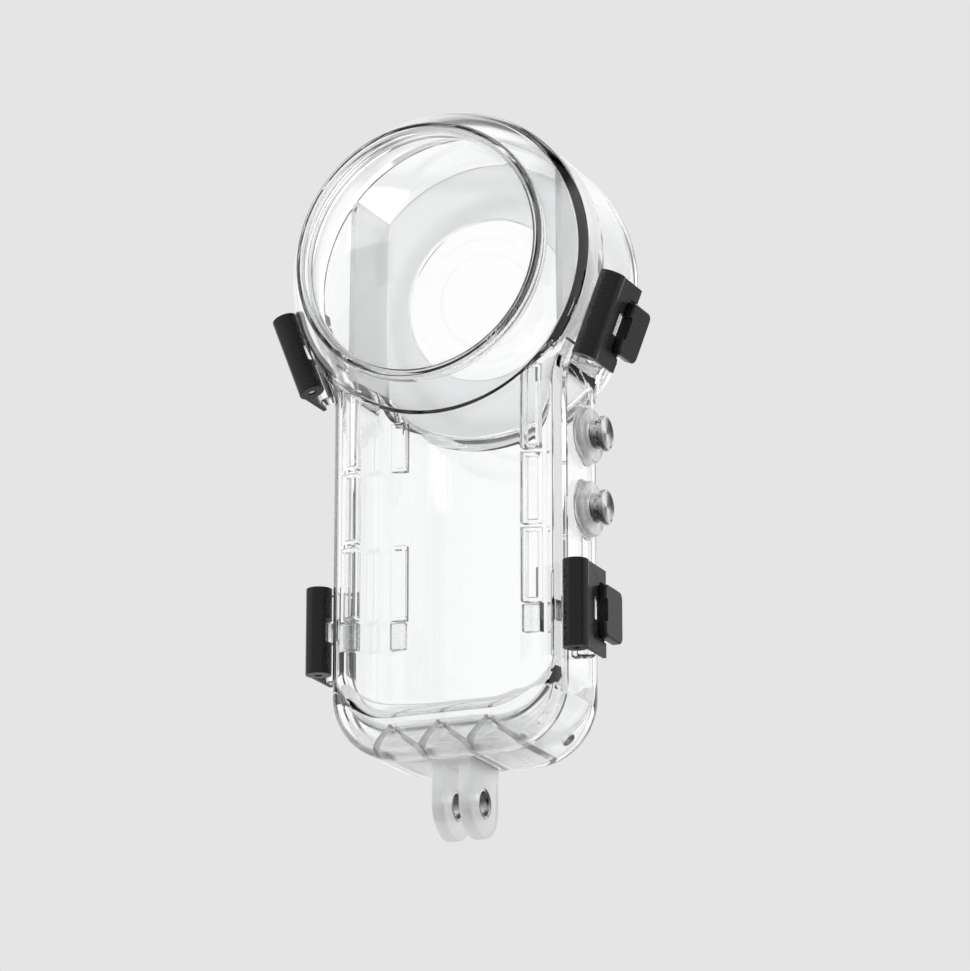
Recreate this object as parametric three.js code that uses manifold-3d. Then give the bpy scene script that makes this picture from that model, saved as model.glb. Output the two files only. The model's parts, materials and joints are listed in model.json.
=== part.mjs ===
// A clear two-shell dive housing for a slim action camera that has a lens on its front and its back.
// Millimetres. +X is the button side, +Y the back, +Z up. The origin is the middle of the finger
// mount's screw axis.
import * as THREE from "three";
import { mergeVertices } from "three/addons/utils/BufferGeometryUtils.js";
import Module from "manifold-3d";

const wasm = await Module();
wasm.setup();

// Head: a drum whose shoulders and domes all lie on one ball
const HEAD_Z = 116; // height of the head's centre
const HEAD_R = 34.8; // radius of the straight band round the head
const HEAD_HALF = 26; // half the head's depth, lip to lip
const BALL_R = 37.5; // the ball that the shoulders and both domes lie on
const LIP_R = 28.6; // outer radius of the lip round each dome
const HEAD_ROOM_R = 31.6; // the room inside the head
const ROOM_BALL_R = 34.7; // its shoulders lie on this ball
const LEDGE_Y = 21.2; // where the ledge under each dome starts
const PORT_R = 25.8; // the bore under each dome
const SEAT_R = 27.6; // the counterbore that a dome sits in
const SEAT_Y = 22.6; // depth of the counterbore's floor

// Body
const BODY_HALF = 26.2; // half the width
const BODY_DEPTH = 16; // half the depth
const BODY_BOTTOM = 9;
const CORNER_R = 14.5; // lower corners, in the front outline
const NECK_R = 14; // fillet between body and head, in the front outline
const EDGE_R = 7; // rounding of the front and back edges
const WALL = 2.8;
const FLOOR_TOP = 16.5; // what the camera stands on
const FLOOR_THICK = 1.5;

// Seam between the shallow front shell and the deep rear shell
const SEAM_Y = -6.5;
const SEAM_GAP = 0.2;
const GROOVE_INSET = [0.7, 2.1]; // seal groove, measured in from the outline
const GROOVE_DEEP = 1.1;
const SEAL_INSET = [0.8, 2.0];

// Domes
const DOME_R = 27.4; // rim radius
const DOME_THICK = 1.8;
const DOME_BORE = 26;
const DOME_FOOT = 23.5; // depth where the rim starts
const DOME_SEAL = [26, 27.3, 22.65, 23.45]; // inner and outer radius, near and far depth

// Inside the rear shell
const PARTITION_HOLE = 18.6; // opening round the rear lens
const PARTITION_Y = [10.6, 12];
const GUIDE_X = [23.6, 25]; // straight walls that carry the body's sides up through the head
const GUIDE_TOP = 137;

// Rails and pads that grip the camera, all at the same distance from the middle
const RAIL_X = [18.8, 22.4];
const RAIL_Y = [11.4, 13.4];
const RAIL_WALL = 0.9; // each rail is cored out from the camera's side
const FRONT_RAILS = [[39, 55.2], [56, 71.7], [72.5, 91.5]];
const REAR_RAILS = [[45, 62], [78.8, 90]];
const PAD_Y = [11.2, 12.9];
const FRONT_PAD_Z = [32.5, 38.6];
const REAR_PAD_Z = [38.5, 44.6];
const PAD_FIT = 0.15;

// Zigzag ribs under the floor
const RIB_PITCH = 5.5; // from a peak to the next valley
const RIB_COUNT = 6;
const RIB_THICK = 1;

// Latches, in the frame of each: x out of the wall, y to the back, z along the edge
const LATCH_TILT = THREE.MathUtils.degToRad(21.2); // the upper ones follow the head
const LATCH_DROP = 1; // how far their middles are below the foot of the head's radius
const LOWER_LATCH_Z = 38.4;
const LATCH_SWING = THREE.MathUtils.degToRad(70);
const PIVOT = [3.5, -10.2]; // x, y
const BARREL_R = 2.8;
const LATCH_HALF = 9.5; // half the length along the edge
const PLATE_X = [5.1, 6.3];
const PLATE_END = 0.6;
const TAB_X = 7.7; // outer face of the finger tab
const TAB_Y = [-3.6, 5.8];
const TAB_HALF = 5.75;
const TAB_CORNER = 1.6;
const TAB_GROOVE = [0.6, 0.5]; // width and depth of the groove round the tab
const LIP_DROP = 0.15;
const WINDOW_Y = [-6, -2.6];
const WINDOW_HALF = 2.45;
const KNUCKLE_HALF = 2.3;
const KNUCKLE_R = 1.6;
const ARM_ANGLE = THREE.MathUtils.degToRad(120); // the knuckle's arm reaches the pin from behind
const ARM_HALF = 0.8; // half its thickness
const ARM_FOOT_Y = [-9.6, -6.85]; // where it leaves the wall
const POCKET_GAP = 0.25; // between the arm and the pocket for it in the barrel
const PIN_R = 0.8;
const PIN_HOLE_R = 0.87;
const PIN_HALF = 9.3;
const BAR = [2.8, -3]; // catch bar, x and y
const BAR_R = 2.1;
const BAR_HALF = 9.7;

// Push buttons, all turned about an axis along X
const BUTTON_Y = 4;
const BUTTON_Z = { upper: 79.4, lower: 63 };
const BOSS_R = 6;
const BOSS_FACE = 28.4;
const STEM_R = 1.9;
const STEM_HOLE_R = 2.1;
const STEM_END = 24.05;
const CLIP_SEAT = 25.2; // counterbore for the clip, open to the inside
const CLIP_SEAT_R = 3.8;
const O_RING_X = 26.2;
const O_RING = [2.4, 0.45]; // ring radius and section radius
const SPRING_SEAT = 27;
const SPRING_SEAT_R = 3.3;
const SPRING = { radius: 2.65, wire: 0.22, turns: 3 };
const CAP_R = 3.9;
const CAP_UNDER_R = 3.1; // the cap's underside slopes in to this
const CAP_X = [30, 31.4];
const CLIP = [1.6, 3.2, 24.55, 25.05]; // inner and outer radius, inner and outer face
const TIP_R = 2.35;
const TIP_X = [23.5, 24.4];

// Finger mount: two prongs that a screw along X passes through
const PRONG_X = [1.6, 4.6];
const PRONG_R = 7.4;
const BUSH_R = [2.6, 3.3];
const BUSH_FIT = 0.1;
const MOUNT_ROOT = 8.7; // the mount's block stops here under the front shell

// Lanyard eye in the lower corner on the button side
const EYE = { x: 21.4, y: 5, z: 13.5, radius: 1.5, deep: 1.6 };

const FAR = 200; // past everything
const OVERLAP = 0.6; // how far joined shapes run into each other
const ARC_STEP = THREE.MathUtils.degToRad(9);
const HEAD_SIDES = 40;

const CLEAR = { color: 0xe6ebee, roughness: 0.08, metalness: 0, transparent: true, opacity: 0.35 };
const CLEAR_DOME = { color: 0xeef3f6, roughness: 0.03, metalness: 0, transparent: true, opacity: 0.25 };
const BLACK = { color: 0x151617, roughness: 0.42, metalness: 0 };
const STEEL = { color: 0xb9bbbd, roughness: 0.28, metalness: 1 };
const SILICONE = { color: 0xd6d8d8, roughness: 0.6, metalness: 0 };
const SEAL_GREY = { color: 0xc3c6c8, roughness: 0.55, metalness: 0 };
const O_RING_BLACK = { color: 0x1d1d1f, roughness: 0.6, metalness: 0 };

// ---- solids ----

// A closed geometry as a solid that can be joined and cut.
function solidOf(geometry) {
  const flat = geometry.index ? geometry.toNonIndexed() : geometry;
  const bare = new THREE.BufferGeometry().setAttribute("position", flat.getAttribute("position"));
  const merged = mergeVertices(bare, 1e-4);
  const corners = merged.index.array;
  const kept = [];
  for (let i = 0; i < corners.length; i += 3) {
    const [a, b, c] = corners.slice(i, i + 3);
    if (a !== b && b !== c && c !== a) kept.push(a, b, c);
  }
  const vertProperties = merged.getAttribute("position").array;
  return new wasm.Manifold(new wasm.Mesh({ numProp: 3, vertProperties, triVerts: new Uint32Array(kept) }));
}

function geometryOf(solid) {
  const mesh = solid.getMesh();
  const geometry = new THREE.BufferGeometry();
  geometry.setAttribute("position", new THREE.BufferAttribute(mesh.vertProperties, 3));
  geometry.setIndex(new THREE.BufferAttribute(mesh.triVerts, 1));
  const flat = geometry.toNonIndexed();
  flat.computeVertexNormals();
  return flat;
}

function boxGeometry([x0, x1], [y0, y1], [z0, z1]) {
  const box = new THREE.BoxGeometry(x1 - x0, y1 - y0, z1 - z0);
  return box.translate((x0 + x1) / 2, (y0 + y1) / 2, (z0 + z1) / 2);
}

const block = (x, y, z) => solidOf(boxGeometry(x, y, z));

// A range on the +X side, or its mirror image on the -X side.
const onSide = (side, [low, high]) => (side > 0 ? [low, high] : [-high, -low]);

// [radius, depth] pairs turned about the Y axis.
function turned(profile, sides) {
  return new THREE.LatheGeometry(profile.map(([r, y]) => new THREE.Vector2(r, y)), sides);
}

// [radius, x] pairs turned about the X axis.
const turnedOnX = (profile, sides) => turned(profile, sides).rotateZ(-Math.PI / 2);

// A closed rectangular profile.
function ringProfile(r0, r1, from, to) {
  return [[r0, from], [r1, from], [r1, to], [r0, to], [r0, from]];
}

function rodOnZ(radius, half, [x, y], sides) {
  return new THREE.CylinderGeometry(radius, radius, 2 * half, sides).rotateX(Math.PI / 2).translate(x, y, 0);
}

// ---- the keyhole outline and what is made from it ----

function arc(cx, cz, radius, from, to) {
  const steps = Math.max(2, Math.round(Math.abs(to - from) / ARC_STEP));
  return Array.from({ length: steps + 1 }, (_, i) => {
    const angle = from + ((to - from) * i) / steps;
    return new THREE.Vector2(cx + radius * Math.cos(angle), cz + radius * Math.sin(angle));
  });
}

const NECK_RISE = Math.sqrt((HEAD_R + NECK_R) ** 2 - (BODY_HALF + NECK_R) ** 2);
const NECK_ANGLE = Math.atan2(NECK_RISE, BODY_HALF + NECK_R);

// The outline's right half from the middle of the bottom up to the head, moved inwards by inset,
// with its bottom raised by lift.
function rightHalf(inset, lift = 0) {
  const cornerZ = BODY_BOTTOM + lift + CORNER_R;
  const corner = arc(BODY_HALF - CORNER_R, cornerZ, CORNER_R - inset, -Math.PI / 2, 0);
  const neckZ = HEAD_Z - NECK_RISE;
  return [...corner, ...arc(BODY_HALF + NECK_R, neckZ, NECK_R + inset, Math.PI, Math.PI - NECK_ANGLE)];
}

// A shape from a right half, what joins it to the left half over the top, and its mirror image.
function mirroredShape(half, top) {
  const left = half.map((p) => new THREE.Vector2(-p.x, p.y)).reverse();
  return new THREE.Shape([...half, ...top, ...left]);
}

// The keyhole outline of body, neck and head between two depths.
function keyhole(inset, [y0, y1]) {
  const top = arc(0, HEAD_Z, HEAD_R - inset, -NECK_ANGLE, Math.PI + NECK_ANGLE).slice(1, -1);
  const shape = mirroredShape(rightHalf(inset), top);
  const sheet = new THREE.ExtrudeGeometry(shape, { depth: y1 - y0, bevelEnabled: false });
  return solidOf(sheet.rotateX(Math.PI / 2).translate(0, y1, 0));
}

// Body and neck with rounded front and back edges; the head hides the top.
function slab(inset, lift = 0) {
  const edge = EDGE_R - inset;
  const depth = 2 * (BODY_DEPTH - EDGE_R);
  const rounding = { bevelThickness: edge, bevelSize: edge, bevelOffset: -edge, bevelSegments: 3 };
  const top = [new THREE.Vector2(PORT_R, HEAD_Z), new THREE.Vector2(-PORT_R, HEAD_Z)];
  const body = new THREE.ExtrudeGeometry(mirroredShape(rightHalf(inset, lift), top), { depth, ...rounding });
  return solidOf(body.rotateX(Math.PI / 2).translate(0, depth / 2, 0));
}

function head() {
  const steps = 4;
  const first = Math.acos(HEAD_R / BALL_R);
  const last = Math.acos(LIP_R / BALL_R);
  const shoulder = Array.from({ length: steps + 1 }, (_, i) => {
    const angle = first + ((last - first) * i) / steps;
    return [BALL_R * Math.cos(angle), BALL_R * Math.sin(angle)];
  });
  const back = [...shoulder, [LIP_R, HEAD_HALF], [0, HEAD_HALF]];
  const front = back.map(([r, y]) => [r, -y]).reverse();
  return solidOf(turned([...front, ...back], HEAD_SIDES).translate(0, 0, HEAD_Z));
}

function headRoom() {
  const past = HEAD_HALF + 1;
  const first = Math.acos(HEAD_ROOM_R / ROOM_BALL_R);
  const last = Math.asin(LEDGE_Y / ROOM_BALL_R);
  const back = Array.from({ length: 4 }, (_, i) => {
    const angle = first + ((last - first) * i) / 3;
    return [ROOM_BALL_R * Math.cos(angle), ROOM_BALL_R * Math.sin(angle)];
  });
  back.push([PORT_R, LEDGE_Y], [PORT_R, SEAT_Y], [SEAT_R, SEAT_Y], [SEAT_R, past], [0, past]);
  const front = back.map(([r, y]) => [r, -y]).reverse();
  return solidOf(turned([...front, ...back], HEAD_SIDES).translate(0, 0, HEAD_Z));
}

// Both shells as one, with the room for the camera and the hollow under its floor.
function hollowBody() {
  const lift = FLOOR_TOP - WALL - BODY_BOTTOM;
  const underFloor = slab(WALL).subtract(slab(WALL - FLOOR_THICK, lift));
  const room = slab(WALL, lift).add(headRoom()).add(underFloor);
  return slab(0).add(head()).subtract(room);
}

// One straight rib under the floor, between two points of the zigzag.
function rib(x0, z0, x1, z1, [y0, y1]) {
  const length = Math.hypot(x1 - x0, z1 - z0) + 2 * OVERLAP;
  const bar = new THREE.BoxGeometry(length, y1 - y0, RIB_THICK).rotateY(-Math.atan2(z1 - z0, x1 - x0));
  return solidOf(bar.translate((x0 + x1) / 2, (y0 + y1) / 2, (z0 + z1) / 2));
}

function withRibs(shell, depths) {
  const levels = [BODY_BOTTOM + WALL, FLOOR_TOP - FLOOR_THICK];
  const start = (-RIB_COUNT / 2) * RIB_PITCH;
  const limit = slab(WALL - OVERLAP);
  let made = shell;
  for (let i = 0; i < RIB_COUNT; i++) {
    const x = start + i * RIB_PITCH;
    const straight = rib(x, levels[i % 2], x + RIB_PITCH, levels[(i + 1) % 2], depths);
    made = made.add(straight.intersect(limit));
  }
  return made;
}

// Rails on the inner face and pockets for the pads; facing is -1 at the front and 1 at the back.
function withRails(shell, facing, rails, padZ) {
  let made = shell;
  for (const side of [-1, 1]) {
    for (const z of rails) {
      const rail = block(onSide(side, RAIL_X), onSide(facing, RAIL_Y), z);
      const core = [RAIL_X, z].map(([low, high]) => [low + RAIL_WALL, high - RAIL_WALL]);
      const depth = onSide(facing, [RAIL_Y[0] - 1, BODY_DEPTH - WALL]);
      made = made.add(rail.subtract(block(onSide(side, core[0]), depth, core[1])));
    }
    const grown = ([low, high]) => [low - PAD_FIT, high + PAD_FIT];
    const pocket = [onSide(side, RAIL_X), onSide(facing, PAD_Y), padZ].map(grown);
    made = made.subtract(block(...pocket));
  }
  return made;
}

// ---- latches ----

// Where a latch stands: local x out of the wall, y to the back, z along the edge.
const frameAt = (x, z, turn) => new THREE.Matrix4().makeRotationY(turn).setPosition(x, 0, z);
const UPPER = [HEAD_R * Math.cos(LATCH_TILT) - LATCH_DROP * Math.sin(LATCH_TILT)];
UPPER.push(HEAD_Z - HEAD_R * Math.sin(LATCH_TILT) - LATCH_DROP * Math.cos(LATCH_TILT));
const LATCH_FRAMES = {
  upper_right: frameAt(UPPER[0], UPPER[1], LATCH_TILT),
  upper_left: frameAt(-UPPER[0], UPPER[1], Math.PI - LATCH_TILT),
  lower_right: frameAt(BODY_HALF, LOWER_LATCH_Z, 0),
  lower_left: frameAt(-BODY_HALF, LOWER_LATCH_Z, Math.PI),
};

// The finger tab's outline, grown by margin, between two heights above the wall.
function tab(margin, [x0, x1]) {
  const [low, high] = [TAB_Y[0] - margin, TAB_Y[1] + margin];
  const half = TAB_HALF + margin;
  const r = TAB_CORNER + margin;
  const shape = new THREE.Shape();
  shape.absarc(high - r, half - r, r, 0, Math.PI / 2);
  shape.absarc(low + r, half - r, r, Math.PI / 2, Math.PI);
  shape.absarc(low + r, r - half, r, Math.PI, 1.5 * Math.PI);
  shape.absarc(high - r, r - half, r, 1.5 * Math.PI, 2 * Math.PI);
  const made = new THREE.ExtrudeGeometry(shape, { depth: x1 - x0, bevelEnabled: false, curveSegments: 2 });
  // The shape's own x, y and depth become the latch's y, z and x.
  const turn = new THREE.Matrix4().set(0, 0, 1, x0, 1, 0, 0, 0, 0, 1, 0, 0, 0, 0, 0, 1);
  return solidOf(made.applyMatrix4(turn));
}

// A flat outline in the latch's x and y, drawn out along z.
function drawnOut(points, half) {
  const shape = new THREE.Shape(points.map(([x, y]) => new THREE.Vector2(x, y)));
  const made = new THREE.ExtrudeGeometry(shape, { depth: 2 * half, bevelEnabled: false });
  return solidOf(made.translate(0, 0, -half));
}

// A point at a distance from the pin along an angle, and at another to the right of that line.
function fromPin(angle, along, aside = 0) {
  const [c, s] = [Math.cos(angle), Math.sin(angle)];
  return [PIVOT[0] + along * c + aside * s, PIVOT[1] + along * s - aside * c];
}

// The room in the barrel for the knuckle as the latch swings open.
function pocket() {
  const half = ARM_HALF + POCKET_GAP;
  const past = BARREL_R + 0.5;
  const outline = [fromPin(ARM_ANGLE, 0, half), fromPin(ARM_ANGLE, past, half)];
  for (let i = 0; i <= 4; i++) outline.push(fromPin(ARM_ANGLE + (LATCH_SWING * i) / 4, past));
  const last = ARM_ANGLE + LATCH_SWING;
  outline.push(fromPin(last, past, -half), fromPin(last, 0, -half));
  const reach = KNUCKLE_HALF + POCKET_GAP;
  return [drawnOut(outline, reach), solidOf(rodOnZ(KNUCKLE_R + 0.15, reach, PIVOT, 20))];
}

function latch() {
  const along = [-LATCH_HALF, LATCH_HALF];
  const [top, tabFoot] = [PLATE_X[1], PLATE_X[1] - TAB_GROOVE[1]];
  const groove = tab(TAB_GROOVE[0], [tabFoot, TAB_X]).subtract(tab(0, [0, FAR]));
  const [swept, hub] = pocket();
  return solidOf(rodOnZ(BARREL_R, LATCH_HALF, PIVOT, 18))
    .add(block(PLATE_X, [PIVOT[1], PLATE_END], along))
    .add(block([PLATE_X[0] - LIP_DROP, top], [0, PLATE_END], [-TAB_HALF, TAB_HALF]))
    .subtract(groove)
    .add(tab(0, [tabFoot, TAB_X]))
    .subtract(block([0, FAR], WINDOW_Y, [-WINDOW_HALF, WINDOW_HALF]))
    .subtract(swept)
    .subtract(hub)
    .subtract(solidOf(rodOnZ(PIN_HOLE_R, LATCH_HALF + 1, PIVOT, 12)));
}

// What a latch turns on: an arm of the front shell that holds the pin.
function knuckle() {
  const [low, high] = ARM_FOOT_Y;
  const clear = BARREL_R + 0.2;
  const outside = [fromPin(ARM_ANGLE, 0, ARM_HALF), fromPin(ARM_ANGLE, clear, ARM_HALF), [2.49, high]];
  const foot = [[-1.5, high], [-1.5, low], [0.45, low]];
  const inside = [fromPin(ARM_ANGLE, clear, -ARM_HALF), fromPin(ARM_ANGLE, 0, -ARM_HALF)];
  return [
    drawnOut([...outside, ...foot, ...inside], KNUCKLE_HALF),
    solidOf(rodOnZ(KNUCKLE_R, KNUCKLE_HALF, PIVOT, 16)),
  ];
}

// What a latch snaps over: a round bar of the rear shell on a web.
function catchBar() {
  const web = [BAR[1] - 0.6 * BAR_R, BAR[1] + 0.6 * BAR_R];
  return [
    solidOf(boxGeometry([-1.8, BAR[0]], web, [-BAR_HALF, BAR_HALF])),
    solidOf(rodOnZ(BAR_R, BAR_HALF, BAR, 16)),
  ];
}

// ---- shells ----

function frontShell() {
  const face = SEAM_Y - SEAM_GAP / 2;
  let made = hollowBody().intersect(block([-FAR, FAR], [-FAR, face], [-FAR, FAR]));
  made = withRibs(made, [WALL - BODY_DEPTH - OVERLAP, face]);
  made = withRails(made, -1, FRONT_RAILS, FRONT_PAD_Z);
  for (const frame of Object.values(LATCH_FRAMES)) {
    for (const solid of knuckle()) made = made.add(solid.transform(frame.elements));
    const hole = solidOf(rodOnZ(PIN_HOLE_R, PIN_HALF, PIVOT, 12));
    made = made.subtract(hole.transform(frame.elements));
  }
  return made;
}

// The boss and the stepped bore of one push button, about the X axis.
function buttonBoss() {
  const chamfer = 0.5;
  const inWall = BODY_HALF - 1;
  const boss = [[0, inWall], [BOSS_R, inWall], [BOSS_R, BOSS_FACE - chamfer]];
  boss.push([BOSS_R - chamfer, BOSS_FACE], [0, BOSS_FACE]);
  return solidOf(turnedOnX(boss, 24));
}

function buttonBore() {
  const [ring, section] = O_RING;
  const groove = [O_RING_X - section - 0.05, O_RING_X + section + 0.05];
  const grooveR = ring + section + 0.05;
  const steps = [[CLIP_SEAT_R, BODY_HALF - WALL - 1], [CLIP_SEAT_R, CLIP_SEAT], [STEM_HOLE_R, CLIP_SEAT]];
  steps.push([STEM_HOLE_R, groove[0]], [grooveR, groove[0]], [grooveR, groove[1]]);
  steps.push([STEM_HOLE_R, groove[1]], [STEM_HOLE_R, SPRING_SEAT], [SPRING_SEAT_R, SPRING_SEAT]);
  steps.push([SPRING_SEAT_R, BOSS_FACE + 1]);
  const last = steps.length - 1;
  return solidOf(turnedOnX([[0, steps[0][1]], ...steps, [0, steps[last][1]]], 20));
}

// The prongs of the finger mount and the block that joins them to the body.
function fingerMount() {
  const y = [-PRONG_R, PRONG_R];
  const width = [-PRONG_X[1], PRONG_X[1]];
  const slotTop = PRONG_R + 0.2;
  let made = block(width, y, [slotTop, MOUNT_ROOT]);
  made = made.add(block(width, [SEAM_Y + SEAM_GAP, PRONG_R], [MOUNT_ROOT - 0.1, BODY_BOTTOM + WALL / 2]));
  for (const side of [-1, 1]) {
    const [x0, x1] = onSide(side, PRONG_X);
    const disc = solidOf(turnedOnX([[0, x0], [PRONG_R, x0], [PRONG_R, x1], [0, x1]], 32));
    made = made.add(disc).add(block([x0, x1], y, [0, MOUNT_ROOT]));
  }
  const boreR = BUSH_R[1] + BUSH_FIT;
  const bore = [[0, width[0] - 1], [boreR, width[0] - 1], [boreR, width[1] + 1], [0, width[1] + 1]];
  return made.subtract(solidOf(turnedOnX(bore, 24)));
}

function rearShell() {
  const face = SEAM_Y + SEAM_GAP / 2;
  let made = hollowBody().intersect(block([-FAR, FAR], [face, FAR], [-FAR, FAR]));
  const ring = ringProfile(PARTITION_HOLE, HEAD_ROOM_R + OVERLAP, ...PARTITION_Y);
  made = made.add(solidOf(turned(ring, HEAD_SIDES).translate(0, 0, HEAD_Z)));
  const guideFoot = HEAD_Z - HEAD_R + NECK_R / 2;
  for (const side of [-1, 1]) {
    made = made.add(block(onSide(side, GUIDE_X), [face, PARTITION_Y[0] + OVERLAP], [guideFoot, GUIDE_TOP]));
  }
  made = withRails(made, 1, REAR_RAILS, REAR_PAD_Z);
  made = withRibs(made, [face, BODY_DEPTH - WALL + OVERLAP]);
  for (const frame of Object.values(LATCH_FRAMES)) {
    for (const solid of catchBar()) made = made.add(solid.transform(frame.elements));
  }
  for (const z of Object.values(BUTTON_Z)) {
    made = made.add(buttonBoss().translate([0, BUTTON_Y, z]));
    made = made.subtract(buttonBore().translate([0, BUTTON_Y, z]));
  }
  made = made.add(fingerMount());
  const [outer, inner] = GROOVE_INSET;
  const depths = [face - 1, face + GROOVE_DEEP];
  made = made.subtract(keyhole(outer, depths).subtract(keyhole(inner, depths)));
  const eye = new THREE.CylinderGeometry(EYE.radius, EYE.radius, 2 * EYE.deep, 16);
  eye.rotateZ(THREE.MathUtils.degToRad(45)).translate(EYE.x + 0.4, EYE.y, EYE.z - 0.4);
  return made.subtract(solidOf(eye));
}

// ---- small pieces ----

// A dome over the +Y side, with the ball's centre at the origin.
function dome() {
  const inner = BALL_R - DOME_THICK;
  const cap = (radius, rim) => {
    const steps = 5;
    const edge = Math.asin(rim / radius);
    return Array.from({ length: steps + 1 }, (_, i) => {
      const angle = (edge * i) / steps;
      return [radius * Math.sin(angle), radius * Math.cos(angle)];
    });
  };
  const inside = cap(inner, DOME_BORE);
  const outside = cap(BALL_R, DOME_R).reverse();
  return turned([...inside, [DOME_BORE, DOME_FOOT], [DOME_R, DOME_FOOT], ...outside], HEAD_SIDES);
}

function mainSeal() {
  const depths = [SEAM_Y - 0.05, SEAM_Y + SEAM_GAP / 2 + GROOVE_DEEP - 0.05];
  return geometryOf(keyhole(SEAL_INSET[0], depths).subtract(keyhole(SEAL_INSET[1], depths)));
}

function button() {
  const [under, top] = CAP_X;
  const groove = [CLIP[2] - 0.1, CLIP[3] + 0.1];
  const neck = CLIP[0] - 0.1;
  const stem = [[0, STEM_END], [STEM_R, STEM_END], [STEM_R, groove[0]], [neck, groove[0]]];
  stem.push([neck, groove[1]], [STEM_R, groove[1]], [STEM_R, under], [CAP_UNDER_R, under]);
  const cap = [[CAP_R, under + 0.6], [CAP_R, top - 0.3], [CAP_R - 0.3, top], [CAP_R - 0.9, top]];
  cap.push([CAP_R - 1.2, top - 0.2]);
  return turnedOnX([...stem, ...cap, [0, top - 0.2]], 20);
}

class Helix extends THREE.Curve {
  getPoint(t) {
    const { radius, wire, turns } = SPRING;
    const from = SPRING_SEAT + wire + 0.05;
    const to = CAP_X[0] - wire - 0.05;
    const angle = 2 * Math.PI * turns * t;
    return new THREE.Vector3(from + (to - from) * t, radius * Math.cos(angle), radius * Math.sin(angle));
  }
}

function spring() {
  const wire = new THREE.Shape().absarc(0, 0, SPRING.wire, 0, 2 * Math.PI);
  const options = { steps: 9 * SPRING.turns, extrudePath: new Helix(), curveSegments: 3 };
  return new THREE.ExtrudeGeometry(wire, options);
}

function oRing() {
  return new THREE.TorusGeometry(O_RING[0], O_RING[1], 6, 18).rotateY(Math.PI / 2).translate(O_RING_X, 0, 0);
}

function tip() {
  const [end, rim] = TIP_X;
  const socketR = STEM_R + 0.1;
  const floor = STEM_END - 0.05;
  const outside = [[0, end], [TIP_R - 0.35, end], [TIP_R, end + 0.25], [TIP_R, rim]];
  return turnedOnX([...outside, [socketR, rim], [socketR, floor], [0, floor]], 20);
}

// ---- assembly ----

const housing = new THREE.Group();

function addPiece(parent, name, geometry, finish) {
  const mesh = new THREE.Mesh(geometry, new THREE.MeshStandardMaterial(finish));
  mesh.name = name;
  parent.add(mesh);
}

function addGroup(position = [0, 0, 0]) {
  const group = new THREE.Group();
  group.position.set(...position);
  housing.add(group);
  return group;
}

addPiece(housing, "rear_shell", geometryOf(rearShell()), CLEAR);
addPiece(housing, "front_shell", geometryOf(frontShell()), CLEAR);
addPiece(housing, "main_seal", mainSeal(), SEAL_GREY);

for (const end of ["rear", "front"]) {
  const group = addGroup([0, 0, HEAD_Z]);
  if (end === "front") group.rotation.z = Math.PI;
  addPiece(group, `${end}_dome`, dome(), CLEAR_DOME);
  addPiece(group, `${end}_dome_seal`, turned(ringProfile(...DOME_SEAL), HEAD_SIDES), SEAL_GREY);
}

for (const [place, frame] of Object.entries(LATCH_FRAMES)) {
  const group = addGroup();
  group.applyMatrix4(frame);
  addPiece(group, `latch_${place}`, geometryOf(latch()), BLACK);
  addPiece(group, `latch_pin_${place}`, rodOnZ(PIN_R, PIN_HALF, PIVOT, 12), STEEL);
}

for (const [place, z] of Object.entries(BUTTON_Z)) {
  const group = addGroup([0, BUTTON_Y, z]);
  addPiece(group, `button_${place}`, button(), STEEL);
  addPiece(group, `button_clip_${place}`, turnedOnX(ringProfile(...CLIP), 20), STEEL);
  addPiece(group, `button_tip_${place}`, tip(), SILICONE);
  addPiece(group, `button_o_ring_${place}`, oRing(), O_RING_BLACK);
  addPiece(group, `button_spring_${place}`, spring(), STEEL);
}

for (const [place, side] of [["left", -1], ["right", 1]]) {
  const bush = turnedOnX(ringProfile(...BUSH_R, ...onSide(side, PRONG_X)), 24);
  addPiece(housing, `mount_bush_${place}`, bush, STEEL);
  const frontPad = boxGeometry(onSide(side, RAIL_X), onSide(-1, PAD_Y), FRONT_PAD_Z);
  const rearPad = boxGeometry(onSide(side, RAIL_X), PAD_Y, REAR_PAD_Z);
  addPiece(housing, `pad_front_${place}`, frontPad, SILICONE);
  addPiece(housing, `pad_rear_${place}`, rearPad, SILICONE);
}

export default housing;
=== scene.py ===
# The looks of a clear dive housing for a slim two-lens action camera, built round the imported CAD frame.
# Shapes are made in millimetres in the CAD frame and scaled to metres when they become objects.
import json
import math

import bmesh
import bpy
from mathutils import Matrix, Vector


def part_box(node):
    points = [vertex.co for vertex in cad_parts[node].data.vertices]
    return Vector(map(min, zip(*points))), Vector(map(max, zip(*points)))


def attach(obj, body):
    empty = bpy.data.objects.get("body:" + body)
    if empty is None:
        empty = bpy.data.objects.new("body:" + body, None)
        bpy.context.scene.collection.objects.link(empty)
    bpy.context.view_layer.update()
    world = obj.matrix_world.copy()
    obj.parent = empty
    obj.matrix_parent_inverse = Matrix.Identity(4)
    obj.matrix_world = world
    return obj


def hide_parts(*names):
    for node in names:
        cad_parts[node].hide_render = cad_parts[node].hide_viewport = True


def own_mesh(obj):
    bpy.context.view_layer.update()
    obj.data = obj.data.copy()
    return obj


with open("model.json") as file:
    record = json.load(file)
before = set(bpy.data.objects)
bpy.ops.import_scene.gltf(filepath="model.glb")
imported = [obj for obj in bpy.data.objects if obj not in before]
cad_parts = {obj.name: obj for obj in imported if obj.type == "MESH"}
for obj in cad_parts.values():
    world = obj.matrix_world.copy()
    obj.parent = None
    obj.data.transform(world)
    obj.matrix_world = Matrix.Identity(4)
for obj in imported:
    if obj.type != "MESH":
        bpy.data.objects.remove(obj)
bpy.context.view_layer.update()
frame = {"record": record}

MM = 1000.0
scene = bpy.context.scene
record = frame["record"]


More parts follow.
